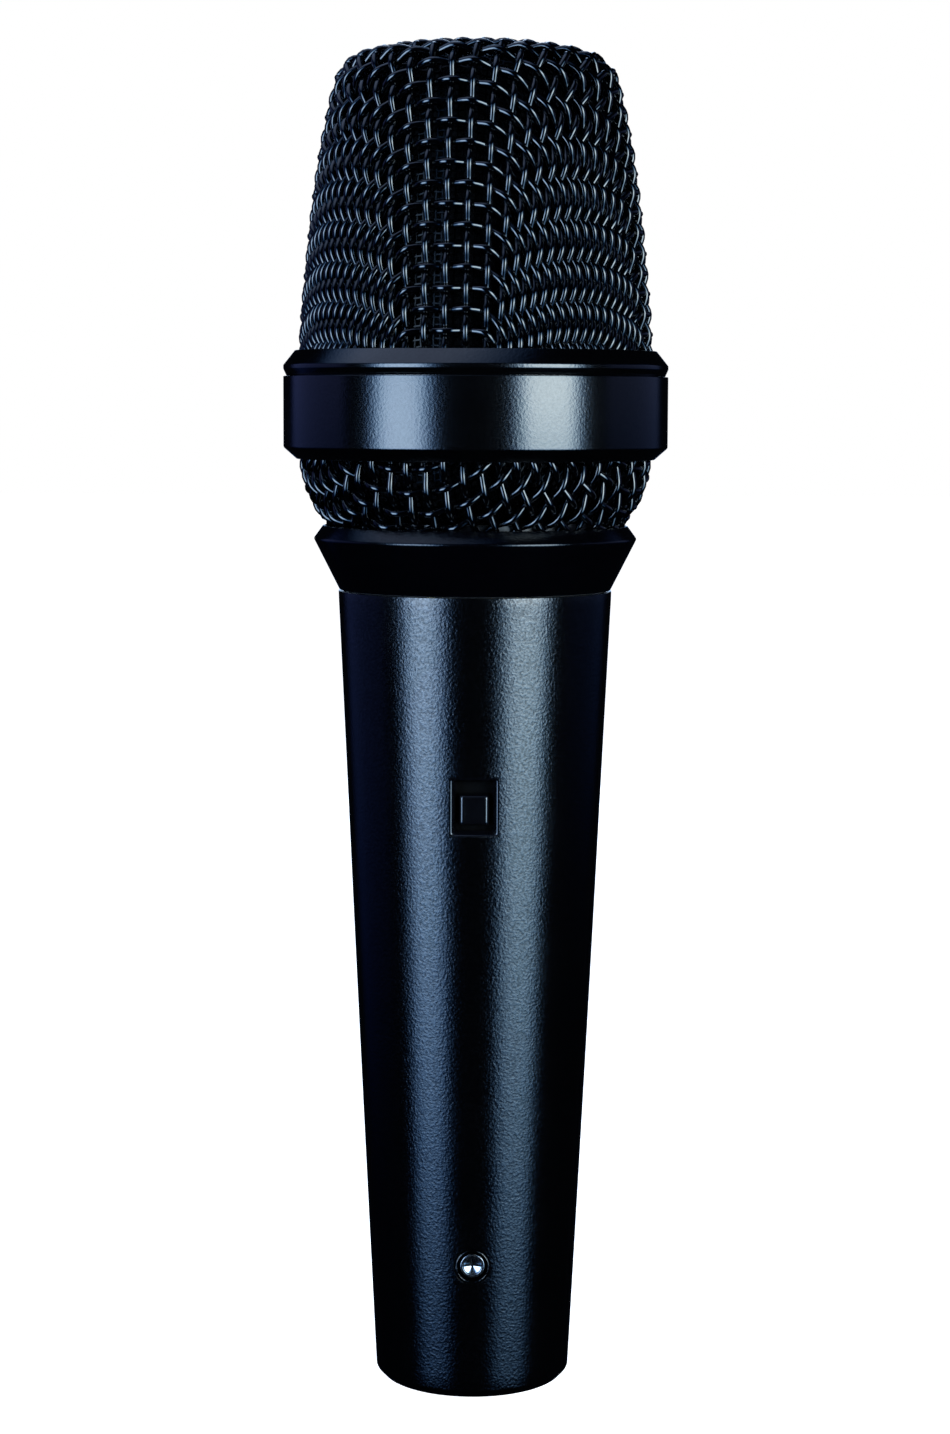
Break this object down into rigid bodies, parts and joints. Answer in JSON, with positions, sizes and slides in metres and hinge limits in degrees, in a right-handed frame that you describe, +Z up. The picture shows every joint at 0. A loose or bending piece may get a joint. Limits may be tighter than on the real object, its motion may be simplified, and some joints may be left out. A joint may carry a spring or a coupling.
{
  "type": "dynamic microphone",
  "caption": "Handheld dynamic vocal microphone: tapered handle with on/off slide switch, flared neck, woven wire grille with collar band, sprung capsule, XLR end.",
  "frame": {"origin": "centre of the lower rim's plane at the XLR end", "axes": "+Z up the axis to the grille's top, the switch and lock screw face -Y"},
  "size_m": [0.052, 0.052, 0.1825],
  "materials": {
    "handle_shell": "satin blue-black enamel with a fine grain",
    "neck_sleeve": "turned",
    "xlr_insert": "moulded",
    "xlr_pin_1": "silver plated",
    "xlr_pin_2": "silver plated",
    "xlr_pin_3": "silver plated",
    "xlr_ground_spring": "sprung strip",
    "switch_frame": "moulded, bevelled",
    "switch_housing": "moulded",
    "switch_terminals": "tinned",
    "switch_bracket": "zinc plated sheet",
    "switch_bracket_screws": "plated",
    "output_lead_hot": "insulated wire",
    "output_lead_cold": "insulated wire",
    "ground_lead": "insulated wire",
    "neck_gasket": "matte",
    "neck_flare_ring": "satin black",
    "lower_mesh_retainer": "plain",
    "lower_grille_mesh": "gloss black woven wire",
    "lower_liner_screen": "black fine woven wire",
    "lower_foam_ring": "open-cell foam",
    "collar_band": "satin blue-black enamel with a fine grain",
    "basket_hoop": "plain",
    "bezel_ring": "satin blue-black enamel",
    "upper_grille_mesh": "gloss black woven wire",
    "upper_liner_screen": "black fine woven wire",
    "upper_foam_cup": "open-cell foam",
    "capsule_housing": "turned",
    "rear_chamber": "moulded",
    "shock_mount_boot": "matte",
    "yoke_carrier": "moulded",
    "yoke_cup": "plated",
    "magnet": "ground",
    "pole_cap": "plated",
    "diaphragm_surround": "thin film",
    "clamp_ring": "turned",
    "resonator_cap": "moulded",
    "front_cloth": "woven felt",
    "rear_port_cloth": "woven felt",
    "terminal_board": "laminate",
    "terminal_lugs": "tinned",
    "capsule_lead_red": "insulated wire",
    "capsule_lead_black": "insulated wire",
    "diaphragm_dome": "thin film",
    "voice_coil": "enamelled winding",
    "switch_knob": "moulded",
    "switch_slider": "moulded",
    "contact_bridges": "sprung strip",
    "xlr_lock_screw": "plated"
  },
  "bodies": {
    "handle": {"handle_shell": "handle_shell", "neck_sleeve": "neck_sleeve", "xlr_insert": "xlr_insert", "xlr_pin_1": "xlr_pin_1", "xlr_pin_2": "xlr_pin_2", "xlr_pin_3": "xlr_pin_3", "xlr_ground_spring": "xlr_ground_spring", "switch_frame": "switch_frame", "switch_housing": "switch_housing", "switch_terminals": "switch_terminals", "switch_bracket": "switch_bracket", "switch_bracket_screws": "switch_bracket_screws", "output_lead_hot": "output_lead_hot", "output_lead_cold": "output_lead_cold", "ground_lead": "ground_lead"},
    "gasket": {"neck_gasket": "neck_gasket"},
    "grille": {"neck_flare_ring": "neck_flare_ring", "lower_mesh_retainer": "lower_mesh_retainer", "lower_grille_mesh": "lower_grille_mesh", "lower_liner_screen": "lower_liner_screen", "lower_foam_ring": "lower_foam_ring", "collar_band": "collar_band", "basket_hoop": "basket_hoop", "bezel_ring": "bezel_ring", "upper_grille_mesh": "upper_grille_mesh", "upper_liner_screen": "upper_liner_screen", "upper_foam_cup": "upper_foam_cup"},
    "capsule": {"capsule_housing": "capsule_housing", "rear_chamber": "rear_chamber", "shock_mount_boot": "shock_mount_boot", "yoke_carrier": "yoke_carrier", "yoke_cup": "yoke_cup", "magnet": "magnet", "pole_cap": "pole_cap", "diaphragm_surround": "diaphragm_surround", "clamp_ring": "clamp_ring", "resonator_cap": "resonator_cap", "front_cloth": "front_cloth", "rear_port_cloth": "rear_port_cloth", "terminal_board": "terminal_board", "terminal_lugs": "terminal_lugs", "capsule_lead_red": "capsule_lead_red", "capsule_lead_black": "capsule_lead_black"},
    "diaphragm": {"diaphragm_dome": "diaphragm_dome", "voice_coil": "voice_coil"},
    "switch_actuator": {"switch_knob": "switch_knob", "switch_slider": "switch_slider", "contact_bridges": "contact_bridges"},
    "lock_screw": {"xlr_lock_screw": "xlr_lock_screw"}
  },
  "joints": [
    {"name": "grille_rise", "type": "slide", "parent": "handle", "child": "gasket", "axis": [0, 0, 1], "range_m": [0, 0.00451]},
    {"name": "grille_unscrew", "type": "hinge", "parent": "gasket", "child": "grille", "pos_m": [0, 0, 0.11], "axis": [0, 0, 1], "range_deg": [0, 1620]},
    {"name": "switch_slide", "type": "slide", "parent": "handle", "child": "switch_actuator", "axis": [0, 0, 1], "range_m": [0, 0.0015]},
    {"name": "capsule_float", "type": "slide", "parent": "handle", "child": "capsule", "axis": [0, 0, 1], "range_m": [-0.0008, 0.0008], "stiffness_N_per_m": 4400, "deforming": ["shock_mount_boot", "capsule_lead_red", "capsule_lead_black"]},
    {"name": "diaphragm_travel", "type": "slide", "parent": "capsule", "child": "diaphragm", "axis": [0, 0, 1], "range_m": [-0.0003, 0.0003], "stiffness_N_per_m": 50},
    {"name": "lock_screw_turn", "type": "hinge", "parent": "handle", "child": "lock_screw", "pos_m": [0, -0.009, 0.0187], "axis": [0, -1, 0], "range_deg": [0, 1080]}
  ],
  "couplings": [
    {"joint": "grille_rise", "follows": "grille_unscrew", "m_per_rad": 0.00015915}
  ]
}
